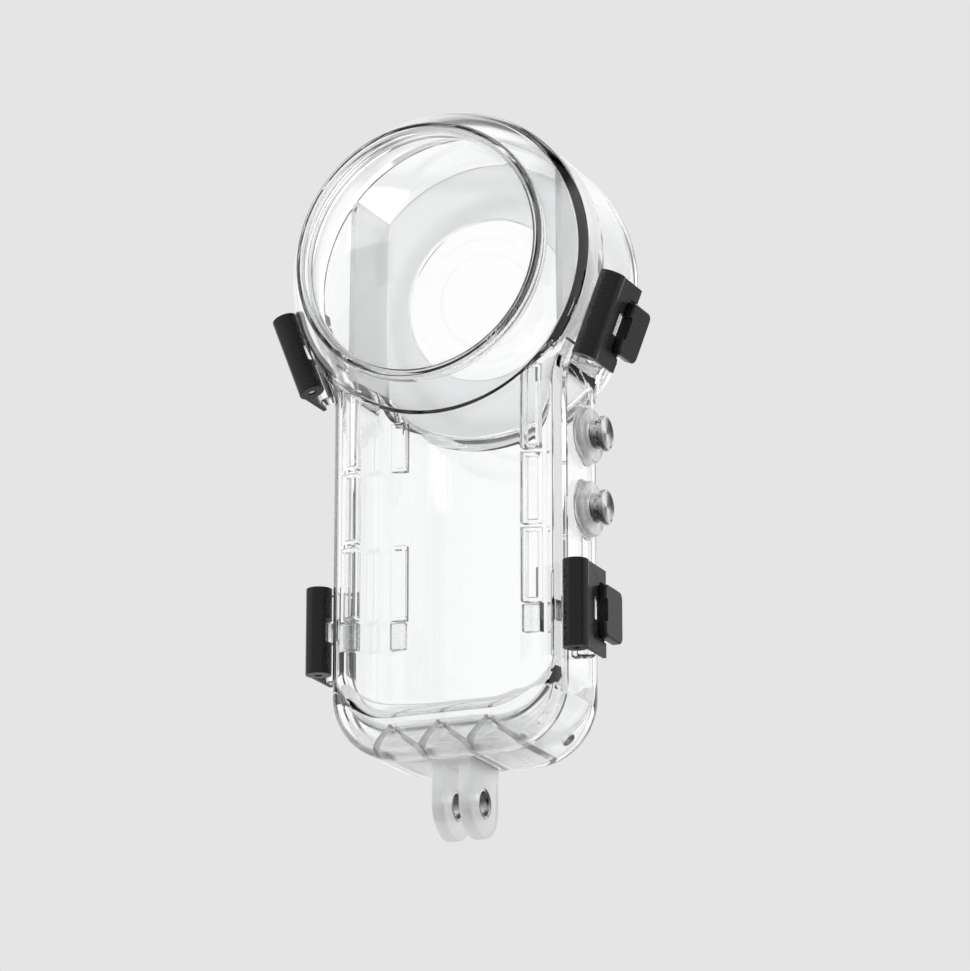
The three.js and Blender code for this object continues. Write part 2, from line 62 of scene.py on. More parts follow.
def cad(node):
    """A CAD node's lowest and highest corners, in millimetres."""
    low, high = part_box(node)
    return low * MM, high * MM


def middle(node):
    low, high = cad(node)
    return (low + high) / 2


# ---- sizes taken from the frame ----

HEAD_Z = middle("rear_dome").z
BALL_R = cad("rear_dome")[1].y
DOME_R = (cad("rear_dome")[1].x - cad("rear_dome")[0].x) / 2
DOME_FOOT = cad("rear_dome")[0].y
HEAD_HALF = cad("rear_shell")[1].y
HEAD_R = cad("rear_shell")[1].z - HEAD_Z
FRONT_RIM = cad("front_shell")[1].y
PRONG_R = -cad("rear_shell")[0].z
BODY_BOTTOM = cad("front_shell")[0].z
BUSH = {side: cad(f"mount_bush_{side}") for side in ("left", "right")}
BUTTON_AXIS = {place: middle(f"button_{place}") for place in ("upper", "lower")}
SEAL_Y = (cad("main_seal")[0].y, cad("main_seal")[1].y)

# ---- sizes of the mouldings that a box does not tell ----

BODY_HALF = 26.2
BODY_DEPTH = 16.0
CORNER_R = 14.5
NECK_R = 14.0
EDGE_R = 7.0
WALL = 2.8
LIP_R = 28.6
HEAD_ROOM_R = 31.6
ROOM_BALL_R = 34.7
LEDGE_Y = 21.2
PORT_R = 25.8
SEAT_R = 27.6
SEAT_Y = 22.6
DOME_THICK = 1.8
DOME_BORE = 26.0
FLOOR = (15.0, 16.5)
REAR_RIM = FRONT_RIM + 0.2
SEAL_GROOVE = (0.7, 2.1, 1.1)  # near and far inset from the outline, depth
SEAL_INSET = (0.8, 2.0)
RING_SEAL_WIDTH = 1.3
BUSH_BORE = 2.6
PARTITION = (18.6, 10.6, 12.0)  # hole radius, front and back depth
GUIDE = (23.6, 25.0, 88.2, 137.0)  # inner and outer x, foot and top
RAIL_X = (18.8, 22.4)
RAIL_Y = (11.4, 13.4)
RAIL_WALL = 0.9
FRONT_RAILS = ((39.0, 55.2), (56.0, 71.7), (72.5, 91.5))
REAR_RAILS = ((45.0, 62.0), (78.8, 90.0))
RIB_PITCH = 5.5
RIB_COUNT = 6
RIB_THICK = 1.0
JOIN = 0.6  # how far joined shapes run into each other
PRONG_X = (1.6, 4.6)
MOUNT_ROOT = 8.7
EYE = (21.8, 5, 13.1)  # the lanyard eye, a short round hole
EYE_R = 1.5
EYE_HALF = 1.6
EYE_TURN = math.radians(135)
FAR = 200.0  # past everything

# Push buttons, along the X axis
BOSS_R = 6.0
BOSS_FACE = 28.4
BOSS_FILLET = 0.9
BORE_R = 2.1
CLIP_ROOM = (3.8, 25.2)  # radius, end
O_RING_GROOVE = (2.9, 25.7, 26.7)  # radius, start, end
O_RING = (2.4, 0.45, 26.2)  # ring radius, section radius, place
SPRING_SEAT = (3.3, 27.0)  # radius, floor
SPRING_WIRE = 0.22
SPRING_TURNS = 3.0
STEM_R = 1.9
STEM_END = 24.05
CLIP_GROOVE = (1.5, 24.45, 25.15)  # radius, start, end
CLIP_R = (1.6, 3.2)
CLIP_SLOT = 0.9  # half width
CAP_R = 3.9
CAP_UNDER = (3.1, 30.0)  # radius and place of the cap's underside
CAP_TOP = 31.4
CAP_EDGE = 0.6  # height of the slope under the cap's edge
CAP_RIM = 0.5  # width of the flat rim round the dish
CAP_DISH = (0.75, 0.2, 0.25)  # inset and depth where the dish's floor starts, depth in the middle
SKIRT = (2.92, 3.18, 28.55)  # the cap's thin skirt round the spring: radii and end
TIP_R = 2.35
TIP_SOCKET = (2.0, 24.0)  # radius, floor

# Latches, in the frame of each: x out of the wall, y to the back, z along the edge
LATCH_TILT = math.radians(21.2)
LATCH_DROP = 1.0
LATCH_SWING = math.radians(70)
LOWER_LATCH_Z = middle("latch_lower_right").z
PIVOT = (3.5, -10.2)
BARREL_R = 2.8
LATCH_HALF = 9.5
PLATE_X = (5.1, 6.3)
PLATE_END = 0.6
PLATE_TRIM = 0.3  # the plate is this much thinner than its box
LIP_DROP = 0.15  # how far the lip under the plate's end stands out
TAB_X = 7.7
TAB_Y = (-3.6, 5.8)
TAB_HALF = 5.75
TAB_CORNER = 1.6
TAB_GROOVE = (0.6, 0.5)  # width and depth of the groove round the tab
WINDOW_Y = (-6.0, -2.6)
WINDOW_HALF = 2.45
BAR = (2.8, -3.0)
BAR_R = 2.1
BAR_HALF = 9.7
PIN_R = 0.8
PIN_HALF = 9.3
PIN_HOLE_R = 0.87
KNUCKLE_HALF = 2.3
KNUCKLE_R = 1.6
KNUCKLE_GAP = 0.15
ARM_ANGLE = math.radians(120)
ARM_HALF = 0.8
ARM_FOOT = ((2.49, -6.85), (-1.5, -6.85), (-1.5, -9.6), (0.45, -9.6))
POCKET_GAP = 0.25


# ---- making solids, in millimetres ----

ON_X = Matrix.Rotation(math.pi / 2, 4, "Y")  # turns height into x
ON_Y = Matrix.Rotation(-math.pi / 2, 4, "X")  # turns height into y
IN_HEAD = Matrix.Translation((0, 0, HEAD_Z)) @ ON_Y


def round_points(radius, start, end, steps, cx=0.0, cz=0.0):
    """Points on a circle from one angle to another."""
    turns = [start + (end - start) * i / steps for i in range(steps + 1)]
    return [(cx + radius * math.cos(t), cz + radius * math.sin(t)) for t in turns]


def solid(bm):
    """An object from a bmesh of closed surfaces, with its faces turned outwards."""
    bmesh.ops.recalc_face_normals(bm, faces=bm.faces)
    if bm.calc_volume(signed=True) < 0:
        bmesh.ops.reverse_faces(bm, faces=bm.faces)
    mesh = bpy.data.meshes.new("solid")
    bm.to_mesh(mesh)
    bm.free()
    obj = bpy.data.objects.new("solid", mesh)
    scene.collection.objects.link(obj)
    return obj


def loft(rings, close=False):
    """Joins rings of equally many points. The last ring joins the first, or the ends are capped."""
    bm = bmesh.new()
    made = [[bm.verts.new(p) for p in ring] for ring in rings]
    count = len(rings[0])
    pairs = list(zip(made, made[1:] + made[:1])) if close else list(zip(made, made[1:]))
    for low, high in pairs:
        for i in range(count):
            j = (i + 1) % count
            bm.faces.new((low[i], low[j], high[j], high[i]))
    if not close:
        bm.faces.new(made[0])
        bm.faces.new(made[-1])
    return solid(bm)


def turned(profile, sides=160):
    """(radius, height) pairs turned about the Z axis. Ends on the axis become single points."""
    bm = bmesh.new()
    rings = []
    for radius, height in profile:
        if radius < 1e-6:
            rings.append([bm.verts.new((0, 0, height))])
            continue
        circle = round_points(radius, 0, 2 * math.pi, sides)[:-1]
        rings.append([bm.verts.new((x, y, height)) for x, y in circle])
    closed = len(rings[0]) > 1
    for low, high in zip(rings, rings[1:] + rings[:1]) if closed else zip(rings, rings[1:]):
        for i in range(sides):
            j = (i + 1) % sides
            corners = [low[i % len(low)], low[j % len(low)]]
            corners += [high[j % len(high)], high[i % len(high)]]
            bm.faces.new(list(dict.fromkeys(corners)))
    return solid(bm)


def placed(obj, matrix):
    obj.data.transform(matrix)
    if matrix.determinant() < 0:
        obj.data.flip_normals()
    return obj


def copy_of(obj, matrix=Matrix.Identity(4)):
    other = obj.copy()
    other.data = obj.data.copy()
    scene.collection.objects.link(other)
    return placed(other, matrix)


def block(x, y, z):
    corners = [(x[0], y[0]), (x[1], y[0]), (x[1], y[1]), (x[0], y[1])]
    return loft([[(a, b, h) for a, b in corners] for h in z])


def soft_block(x, y, z, radius, steps=3):
    """A block with rounded edges."""
    return rounded(block(x, y, z), radius, steps)


def apply_modifiers(obj):
    depsgraph = bpy.context.evaluated_depsgraph_get()
    mesh = bpy.data.meshes.new_from_object(obj.evaluated_get(depsgraph))
    obj.modifiers.clear()
    old = obj.data
    obj.data = mesh
    bpy.data.meshes.remove(old)
    return obj


def rounded(obj, radius, steps=3, angle=30):
    bevel = obj.modifiers.new("round", "BEVEL")
    bevel.width = radius
    bevel.segments = steps
    bevel.limit_method = "ANGLE"
    bevel.angle_limit = math.radians(angle)
    return apply_modifiers(obj)


def combined(base, others, operation):
    """base joined with, cut by or kept within each of others, which are used up."""
    for other in others:
        cut = base.modifiers.new("combine", "BOOLEAN")
        cut.operation = operation
        cut.solver = "MANIFOLD"
        cut.object = other
        apply_modifiers(base)
        bpy.data.objects.remove(other)
    return base


def joined(base, *others):
    return combined(base, others, "UNION")


def cut(base, *others):
    return combined(base, others, "DIFFERENCE")


def kept(base, *others):
    return combined(base, others, "INTERSECT")


def fillet(corner, before, after, radius, steps=5):
    """Points that round a profile's corner between the points before and after it."""
    corner, before, after = Vector(corner), Vector(before), Vector(after)
    a, b = (before - corner).normalized(), (after - corner).normalized()
    half = a.angle(b) / 2
    reach = radius / math.tan(half)
    centre = corner + (a + b).normalized() * (radius / math.sin(half))
    start, end = corner + a * reach - centre, corner + b * reach - centre
    turns = [start.slerp(end, i / steps).normalized() for i in range(steps + 1)]
    return [tuple(centre + turn * radius) for turn in turns]


def rounded_profile(points, steps=5):
    """A profile of (r, h) or (r, h, radius) points, with each corner that has a radius rounded."""
    made = []
    for i, point in enumerate(points):
        if len(point) == 2:
            made.append(point)
            continue
        before, after = points[i - 1][:2], points[(i + 1) % len(points)][:2]
        made += fillet(point[:2], before, after, point[2], steps)
    return made


# ---- the keyhole outline ----

ARC_STEP = math.radians(2.5)
NECK_RISE = math.sqrt((HEAD_R + NECK_R) ** 2 - (BODY_HALF + NECK_R) ** 2)
NECK_ANGLE = math.atan2(NECK_RISE, BODY_HALF + NECK_R)


def arc(cx, cz, radius, start, end):
    steps = max(2, round(abs(end - start) / ARC_STEP))
    return round_points(radius, start, end, steps, cx, cz)


def right_half(inset, lift=0.0):
    corner_z = BODY_BOTTOM + lift + CORNER_R
    corner = arc(BODY_HALF - CORNER_R, corner_z, CORNER_R - inset, -math.pi / 2, 0)
    neck = arc(BODY_HALF + NECK_R, HEAD_Z - NECK_RISE, NECK_R + inset, math.pi, math.pi - NECK_ANGLE)
    return corner + neck


def keyhole(inset):
    half = right_half(inset)
    top = arc(0, HEAD_Z, HEAD_R - inset, -NECK_ANGLE, math.pi + NECK_ANGLE)[1:-1]
    return half + top + [(-x, z) for x, z in reversed(half)]


def body_outline(inset, lift):
    half = right_half(inset, lift)
    top = [(PORT_R, HEAD_Z), (-PORT_R, HEAD_Z)]
    return half + top + [(-x, z) for x, z in reversed(half)]


def keyhole_sheet(inset, depths):
    return loft([[(x, y, z) for x, z in keyhole(inset)] for y in depths])


def slab(inset, lift=0.0, steps=8):
    """Body and neck with rounded front and back edges and the bottom raised by lift."""
    edge = EDGE_R - inset
    flat = BODY_DEPTH - EDGE_R
    rings = []
    for side in (-1, 1):
        turns = [math.pi / 2 * i / steps for i in range(steps + 1)]
        for t in reversed(turns) if side < 0 else turns:
            outline = body_outline(inset + edge * (1 - math.cos(t)), lift)
            rings.append([(x, side * (flat + edge * math.sin(t)), z) for x, z in outline])
    return loft(rings)


def both_ways(profile):
    """A profile from the middle to the back, mirrored to the front."""
    return [(r, -h) for r, h in reversed(profile)] + profile


def head():
    shoulder = round_points(BALL_R, math.acos(HEAD_R / BALL_R), math.acos(LIP_R / BALL_R), 14)
    lip = rounded_profile([shoulder[-1], (LIP_R, HEAD_HALF, 0.5), (0.0, HEAD_HALF)])
    return placed(turned(both_ways(shoulder[:-1] + lip)), IN_HEAD)


def head_room():
    past = HEAD_HALF + 1
    first, last = math.acos(HEAD_ROOM_R / ROOM_BALL_R), math.asin(LEDGE_Y / ROOM_BALL_R)
    shoulder = round_points(ROOM_BALL_R, first, last, 14)
    ledge = [shoulder[-1], (PORT_R, LEDGE_Y, 0.4), (PORT_R, SEAT_Y)]
    ledge += [(SEAT_R, SEAT_Y), (SEAT_R, past), (0.0, past)]
    return placed(turned(both_ways(shoulder[:-1] + rounded_profile(ledge))), IN_HEAD)


def hollow_body():
    lift = FLOOR[1] - WALL - BODY_BOTTOM
    under_floor = cut(slab(WALL), slab(WALL - (FLOOR[1] - FLOOR[0]), lift))
    room = joined(slab(WALL, lift), head_room(), under_floor)
    return cut(joined(slab(0), head()), room)


def zigzag(depths):
    """The ribs under the floor, one solid each, kept inside the walls."""
    ribs = []
    levels = (BODY_BOTTOM + WALL, FLOOR[0])
    for i in range(RIB_COUNT):
        x = (i - RIB_COUNT / 2) * RIB_PITCH
        start = Vector((x, 0, levels[i % 2]))
        end = Vector((x + RIB_PITCH, 0, levels[(i + 1) % 2]))
        half = (end - start).length / 2 + JOIN
        bar = block((-half, half), depths, (-RIB_THICK / 2, RIB_THICK / 2))
        slope = math.atan2(end.z - start.z, end.x - start.x)
        placed(bar, Matrix.Translation((start + end) / 2) @ Matrix.Rotation(-slope, 4, "Y"))
        ribs.append(kept(bar, slab(WALL - JOIN)))
    return ribs


def on_side(side, pair):
    return pair if side > 0 else (-pair[1], -pair[0])


def rail(side, facing, span):
    """A rail on the inner face, cored out from the camera's side."""
    inner = [(pair[0] + RAIL_WALL, pair[1] - RAIL_WALL) for pair in (RAIL_X, span)]
    depth = on_side(facing, (RAIL_Y[0] - 1, BODY_DEPTH - WALL))
    outside = block(on_side(side, RAIL_X), on_side(facing, RAIL_Y), span)
    return rounded(cut(outside, block(on_side(side, inner[0]), depth, inner[1])), 0.2, 3)


def rails(facing, spans):
    return [rail(side, facing, span) for side in (-1, 1) for span in spans]


def pad_pockets(end):
    pockets = []
    for side in ("left", "right"):
        low, high = cad(f"pad_{end}_{side}")
        pockets.append(block(*[(a - 0.15, b + 0.15) for a, b in zip(low, high)]))
    return pockets


# ---- latches and what they hold on to ----

def latch_frames():
    across, down = math.cos(LATCH_TILT), math.sin(LATCH_TILT)
    upper = (HEAD_R * across - LATCH_DROP * down, HEAD_Z - HEAD_R * down - LATCH_DROP * across)
    spots = {
        "upper_right": (upper[0], upper[1], LATCH_TILT),
        "upper_left": (-upper[0], upper[1], math.pi - LATCH_TILT),
        "lower_right": (BODY_HALF, LOWER_LATCH_Z, 0.0),
        "lower_left": (-BODY_HALF, LOWER_LATCH_Z, math.pi),
    }
    return {
        place: Matrix.Translation((x, 0, z)) @ Matrix.Rotation(turn, 4, "Y")
        for place, (x, z, turn) in spots.items()
    }


LATCH_FRAMES = latch_frames()


def rod(radius, half, at, edge=0.3, sides=64):
    """A round bar along z with rounded ends."""
    profile = [(0.0, -half), (radius, -half, edge), (radius, half, edge), (0.0, half)]
    return placed(turned(rounded_profile(profile), sides), Matrix.Translation((at[0], at[1], 0)))


def tab_outline(margin):
    """The finger tab's rounded rectangle in (y, z), grown by margin."""
    low, high, half = TAB_Y[0] - margin, TAB_Y[1] + margin, TAB_HALF + margin
    r = TAB_CORNER + margin
    return rounded_profile([(low, -half, r), (high, -half, r), (high, half, r), (low, half, r)], 6)


def tab(margin, heights):
    return loft([[(x, y, z) for y, z in tab_outline(margin)] for x in heights])


def from_pin(angle, along, aside=0.0):
    """A point at a distance from the pin along an angle, and at another to the right of that line."""
    c, s = math.cos(angle), math.sin(angle)
    return (PIVOT[0] + along * c + aside * s, PIVOT[1] + along * s - aside * c)


def swept_pocket():
    """The room in the barrel for the knuckle's arm as the latch swings open."""
    half, past = ARM_HALF + POCKET_GAP, BARREL_R + 0.5
    last = ARM_ANGLE + LATCH_SWING
    outline = [from_pin(ARM_ANGLE, 0, half), from_pin(ARM_ANGLE, past, half)]
    outline += [from_pin(ARM_ANGLE + LATCH_SWING * i / 10, past) for i in range(11)]
    outline += [from_pin(last, past, -half), from_pin(last, 0, -half)]
    reach = KNUCKLE_HALF + POCKET_GAP
    return loft([[(x, y, z) for x, y in outline] for z in (-reach, reach)])


def latch():
    """The clip: a barrel that runs out into a plate, a window, and a finger tab in a groove."""
    plate_top = PLATE_X[1] - PLATE_TRIM
    first = math.acos((plate_top - PIVOT[0]) / BARREL_R)
    last = math.acos((PLATE_X[0] - PIVOT[0]) / BARREL_R) - 2 * math.pi
    barrel = round_points(BARREL_R, first, last, 60, *PIVOT)
    outline = [(PLATE_X[0], PLATE_END), (plate_top, PLATE_END)] + barrel
    clip = loft([[(x, y, z) for x, y in outline] for z in (-LATCH_HALF, LATCH_HALF)])
    rounded(clip, 0.35, 3, angle=40)
    lip_x = (PLATE_X[0] - LIP_DROP, PLATE_X[0] + JOIN)
    joined(clip, block(lip_x, (0.05, PLATE_END - 0.1), (-TAB_HALF, TAB_HALF)))
    wide, deep = TAB_GROOVE
    foot = plate_top - deep
    cut(clip, cut(tab(wide, (foot, TAB_X)), tab(0.0, (foot - 1, TAB_X + 1))))
    joined(clip, rounded(tab(0.0, (foot, TAB_X)), 0.45, 4, angle=40))
    cut(clip, soft_block((0, 20), WINDOW_Y, (-WINDOW_HALF, WINDOW_HALF), 0.4))
    knuckle_room = rod(KNUCKLE_R + KNUCKLE_GAP, KNUCKLE_HALF + POCKET_GAP, PIVOT, 0.1, 48)
    cut(clip, swept_pocket(), knuckle_room)
    return cut(clip, rod(PIN_HOLE_R, LATCH_HALF + 1, PIVOT, 0.1, 32))


def knuckle():
    """The arm of the front shell that a latch turns on; it reaches the pin from behind."""
    past = BARREL_R + 0.2
    outline = [from_pin(ARM_ANGLE, 0, ARM_HALF), from_pin(ARM_ANGLE, past, ARM_HALF)]
    outline += ARM_FOOT
    outline += [from_pin(ARM_ANGLE, past, -ARM_HALF), from_pin(ARM_ANGLE, 0, -ARM_HALF)]
    arm = loft([[(x, y, z) for x, y in outline] for z in (-KNUCKLE_HALF, KNUCKLE_HALF)])
    rounded(arm, 0.15, 2, angle=40)
    return joined(arm, rod(KNUCKLE_R, KNUCKLE_HALF, PIVOT, 0.15, 48))


def catch_bar():
    """The bar of the rear shell that a latch snaps over, on its web."""
    web = soft_block((-1.8, BAR[0]), (BAR[1] - 1.26, BAR[1] + 1.26), (-BAR_HALF, BAR_HALF), 0.3)
    return joined(web, rod(BAR_R, BAR_HALF, BAR, 0.5))


def finger_mount():
    """Two rounded fingers on a block that grows out of the floor of the body."""
    disc = round_points(PRONG_R, math.pi, 2 * math.pi, 40)
    outline = disc + [(PRONG_R, MOUNT_ROOT + 0.05), (-PRONG_R, MOUNT_ROOT + 0.05)]
    fork = []
    for side in (-1, 1):
        finger = loft([[(x, y, z) for y, z in outline] for x in on_side(side, PRONG_X)])
        fork.append(rounded(finger, 0.55, 4))
    width = (-PRONG_X[1], PRONG_X[1])
    neck = soft_block(width, (-PRONG_R, PRONG_R), (PRONG_R - 0.2, MOUNT_ROOT), 0.3)
    heights = (MOUNT_ROOT - 0.4, BODY_BOTTOM + WALL / 2)
    root = block(width, (REAR_RIM + 0.1, PRONG_R - 0.3), heights)
    bore_r = (BUSH["left"][1].y - BUSH["left"][0].y) / 2 + 0.1
    bore = placed(turned([(0.0, -9.0), (bore_r, -9.0), (bore_r, 9.0), (0.0, 9.0)], 72), ON_X)
    return cut(joined(fork[0], fork[1], neck, root), bore)


# ---- the two shells ----

def button_boss():
    """A boss with a fillet at its foot, about the X axis."""
    root_r, root = BOSS_R + BOSS_FILLET, BODY_HALF - 1.0
    at = (root_r, BODY_HALF + BOSS_FILLET - 0.01)
    foot = round_points(BOSS_FILLET, -math.pi / 2, -math.pi, 6, *at)
    rim = rounded_profile([foot[-1], (BOSS_R, BOSS_FACE, 0.6), (0.0, BOSS_FACE)])
    return placed(turned([(0.0, root), (root_r, root)] + foot[:-1] + rim, 96), ON_X)


def button_bore():
    """The stepped bore through a boss: room for the clip, the O-ring's groove, the spring's seat."""
    start, end = BODY_HALF - WALL - 1, BOSS_FACE + 1
    steps = [(0.0, start), (CLIP_ROOM[0], start), CLIP_ROOM, (BORE_R, CLIP_ROOM[1])]
    deep, near, far = O_RING_GROOVE
    steps += [(BORE_R, near), (deep, near), (deep, far), (BORE_R, far)]
    steps += [(BORE_R, SPRING_SEAT[1]), SPRING_SEAT, (SPRING_SEAT[0], end), (0.0, end)]
    return placed(turned(steps, 72), ON_X)


def front_shell(whole):
    shell = kept(copy_of(whole), block((-FAR, FAR), (-FAR, FRONT_RIM), (-FAR, FAR)))
    joined(shell, *zigzag((-BODY_DEPTH + WALL - JOIN, FRONT_RIM)))
    joined(shell, *rails(-1, FRONT_RAILS))
    cut(shell, *pad_pockets("front"))
    for matrix in LATCH_FRAMES.values():
        joined(shell, placed(knuckle(), matrix))
        cut(shell, placed(rod(PIN_HOLE_R, PIN_HALF, PIVOT, 0.1, 32), matrix))
    return shell


def partition():
    hole, front, back = PARTITION
    outer = HEAD_ROOM_R + JOIN
    ring = [(hole, front, 0.4), (outer, front), (outer, back), (hole, back, 0.4)]
    return placed(turned(rounded_profile(ring), 160), IN_HEAD)


def seal_groove():
    near, far, deep = SEAL_GROOVE
    depths = (REAR_RIM - 1, REAR_RIM + deep)
    return cut(keyhole_sheet(near, depths), keyhole_sheet(far, (depths[0] - 1, depths[1] + 1)))


def lanyard_eye():
    eye = turned([(0.0, -EYE_HALF), (EYE_R, -EYE_HALF), (EYE_R, EYE_HALF), (0.0, EYE_HALF)], 48)
    return placed(eye, Matrix.Translation(EYE) @ Matrix.Rotation(EYE_TURN, 4, "Y"))


def rear_shell(whole):
    shell = kept(copy_of(whole), block((-FAR, FAR), (REAR_RIM, FAR), (-FAR, FAR)))
    joined(shell, partition())
    for side in (-1, 1):
        depths = (REAR_RIM, PARTITION[1] + JOIN)
        joined(shell, block(on_side(side, GUIDE[:2]), depths, (GUIDE[2], GUIDE[3])))
    joined(shell, *rails(1, REAR_RAILS))
    joined(shell, *zigzag((REAR_RIM, BODY_DEPTH - WALL + JOIN)))
    cut(shell, *pad_pockets("rear"))
    for matrix in LATCH_FRAMES.values():
        joined(shell, placed(catch_bar(), matrix))
    for axis in BUTTON_AXIS.values():
        spot = Matrix.Translation((0, axis.y, axis.z))
        joined(shell, placed(button_boss(), spot))
        cut(shell, placed(button_bore(), spot))
    joined(shell, finger_mount())
    return cut(shell, seal_groove(), lanyard_eye())


# ---- small pieces ----

def dome_cap(radius, rim):
    """A ball's cap down to a rim, from its top."""
    edge = math.asin(rim / radius)
    turns = [edge * i / 24 for i in range(25)]
    return [(radius * math.sin(t), radius * math.cos(t)) for t in turns]


def dome(end):
    inner = BALL_R - DOME_THICK
    foot = [(DOME_BORE, DOME_FOOT, 0.2), (DOME_R, DOME_FOOT, 0.2)]
    rim = rounded_profile([(DOME_BORE, inner), *foot, (DOME_R, BALL_R)])[1:-1]
    piece = turned(dome_cap(inner, DOME_BORE) + rim + dome_cap(BALL_R, DOME_R)[::-1])
    flip = Matrix.Rotation(math.pi, 4, "Z") if end == "front" else Matrix.Identity(4)
    return placed(piece, Matrix.Translation((0, 0, HEAD_Z)) @ flip @ ON_Y)


def ring_seal(end):
    low, high = cad(f"{end}_dome_seal")
    outer = (high.x - low.x) / 2
    inner = outer - RING_SEAL_WIDTH
    corners = [(inner, low.y), (outer, low.y), (outer, high.y), (inner, high.y)]
    return placed(turned(rounded_profile([(*c, 0.25) for c in corners], 3)), IN_HEAD)


def main_seal():
    """A rounded cord in the groove, with a ridge that meets the front rim."""
    near, far = SEAL_INSET
    mid, low, high = (near + far) / 2, SEAL_Y[1], SEAL_Y[0]
    section = [(near, low, 0.2), (near, high + 0.5, 0.3)]
    section += [(mid - 0.25, high, 0.2), (mid + 0.25, high, 0.2)]
    section += [(far, high + 0.5, 0.3), (far, low, 0.2)]
    rings = [[(x, y, z) for x, z in keyhole(inset)] for inset, y in rounded_profile(section, 3)]
    return loft(rings, close=True)


def button():
    """A stem with a groove for its clip, and a dished cap with a skirt, about the X axis."""
    deep, near, far = CLIP_GROOVE
    profile = [(0.0, STEM_END), (STEM_R, STEM_END, 0.15), (STEM_R, near), (deep, near)]
    profile += [(deep, far), (STEM_R, far), (STEM_R, CAP_UNDER[1]), (*CAP_UNDER, 0.1)]
    profile += [(CAP_R, CAP_UNDER[1] + CAP_EDGE, 0.1), (CAP_R, CAP_TOP, 0.25)]
    inset, start, depth = CAP_DISH
    profile += [(CAP_R - CAP_RIM, CAP_TOP, 0.08), (CAP_R - inset, CAP_TOP - start, 0.08)]
    profile += [(0.0, CAP_TOP - depth)]
    inner, outer, end = SKIRT
    top = CAP_UNDER[1] + 0.2
    skirt = turned([(inner, end), (outer, end), (outer, top), (inner, top)], 96)
    return placed(joined(turned(rounded_profile(profile), 96), skirt), ON_X)


def button_clip():
    """A retaining clip: a ring with a slot cut through one side."""
    low, high = cad("button_clip_upper")
    inner, outer = CLIP_R
    profile = [(inner, low.x), (outer, low.x), (outer, high.x), (inner, high.x)]
    slot = block((low.x - 1, high.x + 1), (-CLIP_SLOT, CLIP_SLOT), (0, outer + 1))
    return rounded(cut(placed(turned(profile, 64), ON_X), slot), 0.08, 2)


def button_tip():
    low, high = cad("button_tip_upper")
    socket, floor = TIP_SOCKET
    profile = [(0.0, low.x), (TIP_R, low.x, 0.3), (TIP_R, high.x, 0.1)]
    profile += [(socket, high.x), (socket, floor), (0.0, floor)]
    return placed(turned(rounded_profile(profile), 64), ON_X)


def o_ring():
    radius, section, place = O_RING
    profile = round_points(section, 0, 2 * math.pi, 20, radius, place)[:-1]
    return placed(turned(profile, 64), ON_X)


def spring():
    """A coil of round wire along the X axis."""
    steps, sides = 180, 12
    low, high = cad("button_spring_upper")
    radius = (high.z - low.z) / 2 - SPRING_WIRE
    section = round_points(SPRING_WIRE, 0, 2 * math.pi, sides)[:-1]
    rings = []
    for i in range(steps + 1):
        t = i / steps
        angle = 2 * math.pi * SPRING_TURNS * t
        x = low.x + SPRING_WIRE + (high.x - low.x - 2 * SPRING_WIRE) * t
        out = Vector((0, math.cos(angle), math.sin(angle)))
        rings.append([out * (radius + a) + Vector((x + b, 0, 0)) for a, b in section])
    return loft(rings)


def latch_pin():
    return rod(PIN_R, PIN_HALF, PIVOT, 0.15, 40)


def bush(side):
    low, high = BUSH[side]
    outer = (high.y - low.y) / 2
    profile = [(BUSH_BORE, low.x, 0.3), (outer, low.x), (outer, high.x), (BUSH_BORE, high.x, 0.3)]
    return placed(turned(rounded_profile(profile), 72), ON_X)


def pad(name):
    low, high = cad(name)
    return soft_block(*[(a, b) for a, b in zip(low, high)], 0.35, 4)


# ---- materials ----

def nodes_of(name):
    material = bpy.data.materials.new(name)
    material.use_nodes = True
    tree = material.node_tree
    return material, tree, tree.nodes["Principled BSDF"], tree.nodes["Material Output"]


def add(tree, kind, **values):
    node = tree.nodes.new(kind)
    for key, value in values.items():
        if key in node.inputs:
            node.inputs[key].default_value = value
        else:
            setattr(node, key, value)
    return node


def noise(tree, scale, detail=3.0, stretch=(1, 1, 1)):
    """A noise value over the object's own space, scale in cycles per metre."""
    where = add(tree, "ShaderNodeTexCoord")
    mapping = add(tree, "ShaderNodeMapping", Scale=stretch)
    tree.links.new(where.outputs["Object"], mapping.inputs["Vector"])
    made = add(tree, "ShaderNodeTexNoise", Scale=scale, Detail=detail)
    tree.links.new(mapping.outputs["Vector"], made.inputs["Vector"])
    return made.outputs["Fac"]


def ranged(tree, value, low, high, start=0.3, end=0.7):
    made = add(tree, "ShaderNodeMapRange")
    for key, number in zip(("From Min", "From Max", "To Min", "To Max"), (start, end, low, high)):
        made.inputs[key].default_value = number
    tree.links.new(value, made.inputs["Value"])
    return made.outputs["Result"]


def bump(tree, shader, value, distance, strength=1.0):
    made = add(tree, "ShaderNodeBump", Distance=distance, Strength=strength)
    tree.links.new(value, made.inputs["Height"])
    tree.links.new(made.outputs["Normal"], shader.inputs["Normal"])


def maths(tree, operation, *values):
    """A Math node over node outputs and plain numbers."""
    node = add(tree, "ShaderNodeMath", operation=operation)
    for socket, value in zip(node.inputs, values):
        if isinstance(value, (int, float)):
            socket.default_value = value
        else:
            tree.links.new(value, socket)
    return node.outputs["Value"]


def between(tree, value, low, high):
    """1 where a coordinate lies between two places in millimetres."""
    middle_m, half_m = (low + high) / 2 / MM, (high - low) / 2 / MM
    return maths(tree, "COMPARE", value, middle_m, half_m)


SOFT_SHINE = 0.35  # how matt the ribs are, next to the matt places
MILKY = 0.72  # how much light the matt places let through


